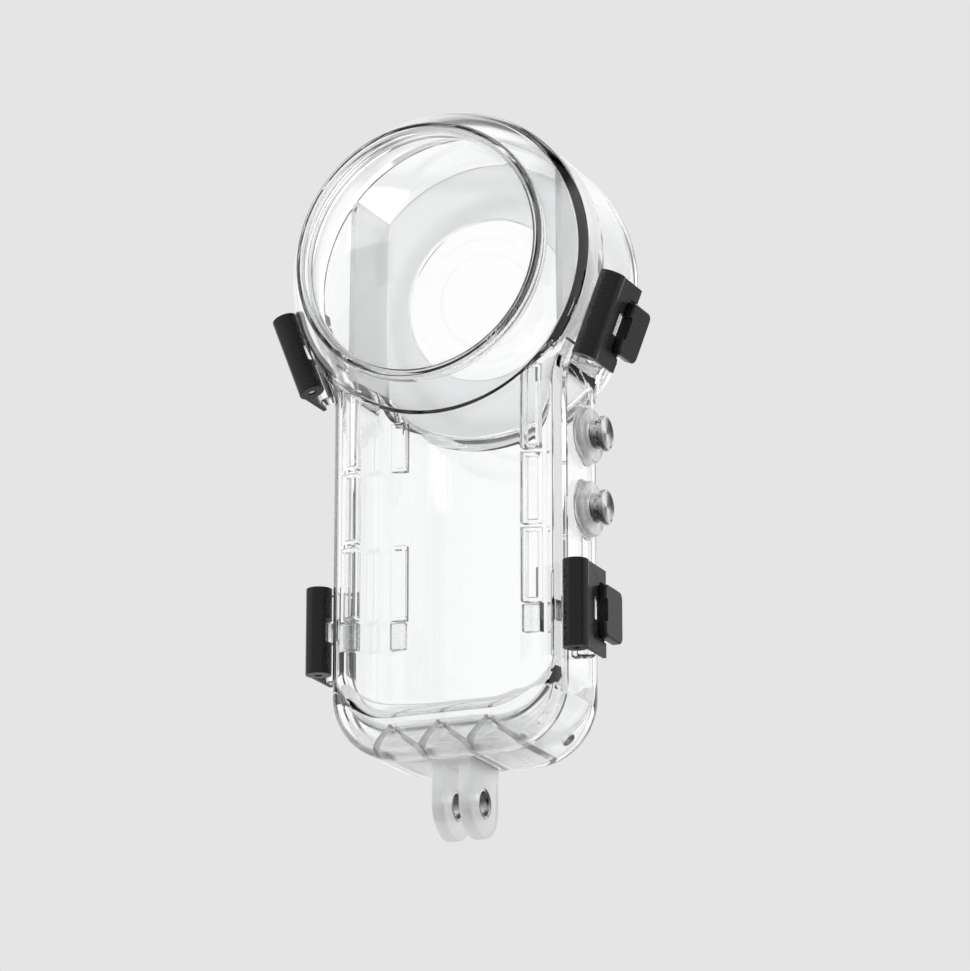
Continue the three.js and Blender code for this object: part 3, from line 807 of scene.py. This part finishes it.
def round_places(tree, a, b, centre, radius):
    """1 within a radius of a line, in the plane of two coordinates; all in millimetres."""
    da, db = (maths(tree, "SUBTRACT", v, at / MM) for v, at in zip((a, b), centre))
    square = maths(tree, "ADD", maths(tree, "MULTIPLY", da, da), maths(tree, "MULTIPLY", db, db))
    return between(tree, maths(tree, "SQRT", square), -1, radius)


def both(tree, a, b):
    return maths(tree, "MULTIPLY", a, b)


def matt_places(tree):
    """1 where the shells are moulded matt: the finger mount, the bosses, and the walls round the
    lens inside the rear shell. The ribs under the floor are only a little matt."""
    where = add(tree, "ShaderNodeTexCoord")
    parts = add(tree, "ShaderNodeSeparateXYZ")
    tree.links.new(where.outputs["Object"], parts.inputs["Vector"])
    x, y, z = (parts.outputs[axis] for axis in "XYZ")
    marks = [ranged(tree, z, 1.0, 0.0, (BODY_BOTTOM - 0.6) / MM, (BODY_BOTTOM + 0.2) / MM)]
    outside = between(tree, x, BODY_HALF + 0.1, FAR)
    for axis in BUTTON_AXIS.values():
        boss = round_places(tree, y, z, (axis.y, axis.z), BOSS_R + BOSS_FILLET)
        marks.append(both(tree, boss, outside))
    in_room = round_places(tree, x, z, (0, HEAD_Z), HEAD_ROOM_R - 0.1)
    hole, front, back = PARTITION
    marks.append(both(tree, in_room, between(tree, y, front - 0.1, back + 0.1)))
    side = between(tree, maths(tree, "ABSOLUTE", x), GUIDE[0] - 0.1, GUIDE[1] + 0.1)
    deep = both(tree, side, between(tree, y, REAR_RIM + 0.2, front))
    marks.append(both(tree, deep, in_room))
    ribs = between(tree, z, BODY_BOTTOM + WALL, FLOOR[0])
    marks.append(maths(tree, "MULTIPLY", ribs, SOFT_SHINE))
    while len(marks) > 1:
        marks.append(maths(tree, "MAXIMUM", marks.pop(0), marks.pop(0)))
    return marks[0]


def clear(name, tint, ior, roughness, matt=None, ripple=0.00002):
    """Clear plastic that lets lamps through; matt is the roughness of its matt places."""
    material, tree, shader, output = nodes_of(name)
    shader.inputs["Base Color"].default_value = (*tint, 1)
    shader.inputs["Transmission Weight"].default_value = 1.0
    shader.inputs["IOR"].default_value = ior
    finish = ranged(tree, noise(tree, 90, 4), roughness, roughness + 0.03, 0.45, 0.75)
    if matt:
        mask = matt_places(tree)
        mix = add(tree, "ShaderNodeMix", B=matt)
        tree.links.new(mask, mix.inputs["Factor"])
        tree.links.new(finish, mix.inputs["A"])
        finish = mix.outputs["Result"]
        milky = ranged(tree, mask, 1.0, MILKY, 0.0, 1.0)
        tree.links.new(milky, shader.inputs["Transmission Weight"])
    tree.links.new(finish, shader.inputs["Roughness"])
    bump(tree, shader, noise(tree, 60, 1), ripple)
    rays = add(tree, "ShaderNodeLightPath")
    through = add(tree, "ShaderNodeBsdfTransparent", Color=(*[c ** 0.5 for c in tint], 1))
    mixed = add(tree, "ShaderNodeMixShader")
    tree.links.new(rays.outputs["Is Shadow Ray"], mixed.inputs["Fac"])
    tree.links.new(shader.outputs["BSDF"], mixed.inputs[1])
    tree.links.new(through.outputs["BSDF"], mixed.inputs[2])
    tree.links.new(mixed.outputs["Shader"], output.inputs["Surface"])
    return material


def black_plastic():
    material, tree, shader, _ = nodes_of("black_acetal")
    fine = noise(tree, 2600, 5)
    # The base colour is a little lighter along sharp outer edges, read from the mesh's pointiness.
    edge_shape = add(tree, "ShaderNodeNewGeometry")
    edge = ranged(tree, edge_shape.outputs["Pointiness"], 0.0, 1.0, 0.52, 0.6)
    ramp = add(tree, "ShaderNodeMix", data_type="RGBA")
    ramp.inputs["A"].default_value = (0.0065, 0.0068, 0.0072, 1)
    ramp.inputs["B"].default_value = (0.02, 0.0205, 0.021, 1)
    tree.links.new(edge, ramp.inputs["Factor"])
    tree.links.new(ramp.outputs["Result"], shader.inputs["Base Color"])
    tree.links.new(ranged(tree, fine, 0.24, 0.34), shader.inputs["Roughness"])
    shader.inputs["Specular IOR Level"].default_value = 0.25
    bump(tree, shader, fine, 0.000006)
    return material


def turned_steel(name, centre_node, rough=(0.08, 0.18), rings=9000.0):
    """Steel with fine lathe rings about the piece's own axis along X, and a painted reflection: a light
    and dark fan about that axis, painted into the base colour where such rings would reflect light."""
    material, tree, shader, _ = nodes_of(name)
    centre = middle(centre_node) / MM
    where = add(tree, "ShaderNodeTexCoord")
    away = add(tree, "ShaderNodeVectorMath", operation="SUBTRACT")
    away.inputs[1].default_value = centre
    flat = add(tree, "ShaderNodeVectorMath", operation="MULTIPLY")
    flat.inputs[1].default_value = (0, 1, 1)
    reach = add(tree, "ShaderNodeVectorMath", operation="LENGTH")
    tree.links.new(where.outputs["Object"], away.inputs[0])
    tree.links.new(away.outputs["Vector"], flat.inputs[0])
    tree.links.new(flat.outputs["Vector"], reach.inputs[0])
    lines = add(tree, "ShaderNodeTexNoise", noise_dimensions="1D", Scale=rings, Detail=2.0)
    tree.links.new(reach.outputs["Value"], lines.inputs["W"])
    parts = add(tree, "ShaderNodeSeparateXYZ")
    tree.links.new(flat.outputs["Vector"], parts.inputs["Vector"])
    # Painted reflection: the base colour runs from light to dark in a fan of four quarters round the
    # axis.
    turn = maths(tree, "ARCTAN2", parts.outputs["Z"], parts.outputs["Y"])
    reflection_fan = maths(tree, "SINE", maths(tree, "MULTIPLY", turn, 2.0))
    painted_reflection = add(tree, "ShaderNodeMix", data_type="RGBA")
    painted_reflection.inputs["A"].default_value = (0.8, 0.795, 0.79, 1)
    painted_reflection.inputs["B"].default_value = (0.12, 0.119, 0.118, 1)
    tree.links.new(ranged(tree, reflection_fan, 0.0, 1.0, -0.8, 0.8), painted_reflection.inputs["Factor"])
    tree.links.new(painted_reflection.outputs["Result"], shader.inputs["Base Color"])
    shader.inputs["Metallic"].default_value = 1.0
    tree.links.new(ranged(tree, lines.outputs["Fac"], *rough), shader.inputs["Roughness"])
    bump(tree, shader, lines.outputs["Fac"], 0.000003)
    shader.inputs["Anisotropic"].default_value = 0.6
    tangent = add(tree, "ShaderNodeTangent", direction_type="RADIAL", axis="X")
    tree.links.new(tangent.outputs["Tangent"], shader.inputs["Tangent"])
    return material


def plain_steel():
    material, tree, shader, _ = nodes_of("drawn_steel")
    streaks = noise(tree, 1500, 3, (1, 1, 0.15))
    shader.inputs["Base Color"].default_value = (0.58, 0.575, 0.57, 1)
    shader.inputs["Metallic"].default_value = 1.0
    tree.links.new(ranged(tree, streaks, 0.18, 0.36), shader.inputs["Roughness"])
    bump(tree, shader, streaks, 0.000005)
    return material


def silicone(name, colour, through, rough=(0.4, 0.55)):
    material, tree, shader, _ = nodes_of(name)
    grain = noise(tree, 1800, 4)
    shader.inputs["Base Color"].default_value = (*colour, 1)
    shader.inputs["Transmission Weight"].default_value = through
    shader.inputs["IOR"].default_value = 1.41
    tree.links.new(ranged(tree, grain, *rough), shader.inputs["Roughness"])
    bump(tree, shader, grain, 0.00001)
    return material


def rubber():
    material, tree, shader, _ = nodes_of("black_nitrile")
    grain = noise(tree, 2200, 4)
    shader.inputs["Base Color"].default_value = (0.014, 0.014, 0.015, 1)
    tree.links.new(ranged(tree, grain, 0.35, 0.5), shader.inputs["Roughness"])
    bump(tree, shader, grain, 0.00001)
    return material


POLYCARBONATE = clear("clear_polycarbonate", (0.985, 0.99, 0.993), 1.585, 0.012, 0.42)
OPTICAL = clear("optical_dome", (0.995, 0.998, 0.999), 1.49, 0.004, None, 0.000004)
BLACK = black_plastic()
WIRE = plain_steel()
PAD = silicone("clear_silicone", (0.97, 0.975, 0.98), 0.95, (0.2, 0.3))
RING = silicone("glossy_silicone", (0.97, 0.975, 0.98), 0.97, (0.06, 0.12))
SEAL = silicone("grey_silicone", (0.55, 0.56, 0.565), 0.8)
NITRILE = rubber()


# ---- putting the pieces on their bodies ----

def show(obj, name, node, material, smooth=32.0):
    """Scales a finished solid to metres, gives it its finish and makes it stand for its CAD node."""
    obj.name = obj.data.name = name
    obj.data.transform(Matrix.Scale(1 / MM, 4))
    obj.data.materials.clear()
    obj.data.materials.append(material)
    shade(obj, smooth)
    body = next(b for b, nodes in record["behaviour"]["bodies"].items() if node in nodes)
    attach(obj, body)
    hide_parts(node)
    return obj


def shade(obj, angle):
    """Smooth shading that breaks at real edges and keeps flat faces flat."""
    bm = bmesh.new()
    bm.from_mesh(obj.data)
    bmesh.ops.remove_doubles(bm, verts=bm.verts, dist=1e-8)
    for face in bm.faces:
        face.smooth = True
    for edge in bm.edges:
        edge.smooth = len(edge.link_faces) == 2 and edge.calc_face_angle(0) < math.radians(angle)
    bm.to_mesh(obj.data)
    bm.free()
    weighted = obj.modifiers.new("flat faces stay flat", "WEIGHTED_NORMAL")
    weighted.keep_sharp = True
    weighted.weight = 80


whole = hollow_body()
show(rear_shell(whole), "clear_rear_half", "rear_shell", POLYCARBONATE)
show(front_shell(whole), "clear_front_half", "front_shell", POLYCARBONATE)
bpy.data.objects.remove(whole)

for end in ("front", "rear"):
    show(dome(end), f"{end}_dome_glass", f"{end}_dome", OPTICAL)
    show(ring_seal(end), f"{end}_dome_gasket", f"{end}_dome_seal", RING)
show(main_seal(), "rim_gasket", "main_seal", SEAL)

master = latch()
for place, matrix in LATCH_FRAMES.items():
    show(copy_of(master, matrix), f"{place}_clip", f"latch_{place}", BLACK)
    show(placed(latch_pin(), matrix), f"{place}_pin", f"latch_pin_{place}", WIRE)
bpy.data.objects.remove(master)

for place, axis in BUTTON_AXIS.items():
    spot = Matrix.Translation((0, axis.y, axis.z))
    steel = turned_steel(f"turned_steel_{place}", f"button_{place}")
    show(placed(button(), spot), f"{place}_push_button", f"button_{place}", steel)
    show(placed(button_clip(), spot), f"{place}_retaining_clip", f"button_clip_{place}", WIRE)
    show(placed(button_tip(), spot), f"{place}_soft_tip", f"button_tip_{place}", PAD)
    show(placed(o_ring(), spot), f"{place}_shaft_seal", f"button_o_ring_{place}", NITRILE)
    coil = show(placed(spring(), spot), f"{place}_return_spring", f"button_spring_{place}", WIRE)
    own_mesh(coil)

for side in ("left", "right"):
    steel = turned_steel(f"bush_steel_{side}", f"mount_bush_{side}")
    show(bush(side), f"{side}_finger_bush", f"mount_bush_{side}", steel)
    for end in ("front", "rear"):
        show(pad(f"pad_{end}_{side}"), f"{end}_{side}_pad", f"pad_{end}_{side}", PAD)


# ---- camera, light and surroundings ----

# How bright the studio is, in steps of (place, level). Going round, the place is how far a
# direction turns from the camera's line, forwards or backwards: dark slats stand at four corners.
SLATS = ((0.0, 1.0), (0.73, 1.0), (0.79, 0.03), (0.86, 0.03), (0.9, 1.0), (1.0, 1.05))
# From straight down (0) to straight up (1)
HEIGHTS = ((0.0, 1.0), (0.84, 1.0), (0.88, 0.15), (0.91, 0.15), (0.95, 1.2), (1.0, 1.2))
# From behind the camera (0) to ahead of it (1)
DEPTHS = ((0.0, 0.8), (0.35, 0.85), (0.6, 1.0), (1.0, 1.03))
BACKDROP = 0.783  # the grey that the camera sees past the object
FLOOR_LEVEL = -0.3  # metres
FLOOR_RADIUS = 2.2

AZIMUTH, ELEVATION = math.radians(23.5), math.radians(-16.5)
DISTANCE = 1.0
LENS = 172.3
RIGHT = Vector((math.cos(AZIMUTH), math.sin(AZIMUTH), 0))
TOWARDS = Vector((math.sin(AZIMUTH), -math.cos(AZIMUTH), 0))  # level, from the object to the camera
BACK = TOWARDS * math.cos(ELEVATION) + Vector((0, 0, math.sin(ELEVATION)))
AIM = RIGHT * 0.0042 + Vector((0, 0, 0.0704))  # the point that the camera looks at


def add_camera():
    data = bpy.data.cameras.new("camera")
    data.lens = LENS
    data.clip_start = 0.01
    camera = bpy.data.objects.new("camera", data)
    scene.collection.objects.link(camera)
    axes = Matrix((RIGHT, BACK.cross(RIGHT), BACK)).transposed().to_4x4()
    camera.matrix_world = Matrix.Translation(AIM + BACK * DISTANCE) @ axes
    scene.camera = camera


def add_lamp(name, where, aim, size, watts):
    data = bpy.data.lights.new(name, "AREA")
    data.size = size
    data.energy = watts
    lamp = bpy.data.objects.new(name, data)
    scene.collection.objects.link(lamp)
    lamp.location = where
    lamp.rotation_euler = (Vector(aim) - Vector(where)).to_track_quat("-Z", "Y").to_euler()


def stepped(tree, value, steps):
    """A number read off a list of (place, level)."""
    ramp = add(tree, "ShaderNodeValToRGB")
    while len(ramp.color_ramp.elements) < len(steps):
        ramp.color_ramp.elements.new(0.5)
    top = max(level for _, level in steps)
    for element, (place, level) in zip(ramp.color_ramp.elements, steps):
        element.position = place
        element.color = (level / top, level / top, level / top, 1)
    tree.links.new(value, ramp.inputs["Fac"])
    return maths(tree, "MULTIPLY", ramp.outputs["Color"], top)


def along(tree, where, axis):
    made = add(tree, "ShaderNodeVectorMath", operation="DOT_PRODUCT")
    made.inputs[1].default_value = axis
    tree.links.new(where, made.inputs[0])
    return made.outputs["Value"]


def add_surroundings():
    """A pale studio: plain grey where the camera looks past the object and white where the object
    lets light through, with dark slats that draw the edges of clear parts."""
    world = bpy.data.worlds.new("studio")
    scene.world = world
    world.use_nodes = True
    tree = world.node_tree
    sky = tree.nodes["Background"]
    where = add(tree, "ShaderNodeTexCoord").outputs["Generated"]
    ahead = along(tree, where, -TOWARDS)
    aside = maths(tree, "ABSOLUTE", along(tree, where, RIGHT))
    up = along(tree, where, Vector((0, 0, 1)))
    level = maths(tree, "SQRT", maths(tree, "SUBTRACT", 1.0001, maths(tree, "MULTIPLY", up, up)))
    light = stepped(tree, maths(tree, "DIVIDE", aside, level), SLATS)
    for value, steps in ((up, HEIGHTS), (ahead, DEPTHS)):
        share = stepped(tree, ranged(tree, value, 0, 1, -1, 1), steps)
        light = both(tree, light, share)
    rays = add(tree, "ShaderNodeLightPath")
    mix = add(tree, "ShaderNodeMix", B=BACKDROP)
    tree.links.new(rays.outputs["Is Camera Ray"], mix.inputs["Factor"])
    tree.links.new(light, mix.inputs["A"])
    tree.links.new(mix.outputs["Result"], sky.inputs["Color"])


def add_floor():
    """A pale round floor well below the object, which stands in the air on its mount."""
    bm = bmesh.new()
    bmesh.ops.create_circle(bm, cap_ends=True, segments=128, radius=FLOOR_RADIUS)
    mesh = bpy.data.meshes.new("floor")
    bm.to_mesh(mesh)
    bm.free()
    floor = bpy.data.objects.new("floor", mesh)
    scene.collection.objects.link(floor)
    floor.location.z = FLOOR_LEVEL
    material, tree, shader, _ = nodes_of("pale_floor")
    shader.inputs["Base Color"].default_value = (0.93, 0.93, 0.93, 1)
    shader.inputs["Specular IOR Level"].default_value = 0.1
    tree.links.new(ranged(tree, noise(tree, 40), 0.7, 0.8), shader.inputs["Roughness"])
    mesh.materials.append(material)


add_camera()
add_surroundings()
add_floor()
add_lamp("key", where=(-0.9, -0.9, 0.9), aim=(0, 0, 0.08), size=0.9, watts=4)
scene.view_settings.view_transform = "Standard"
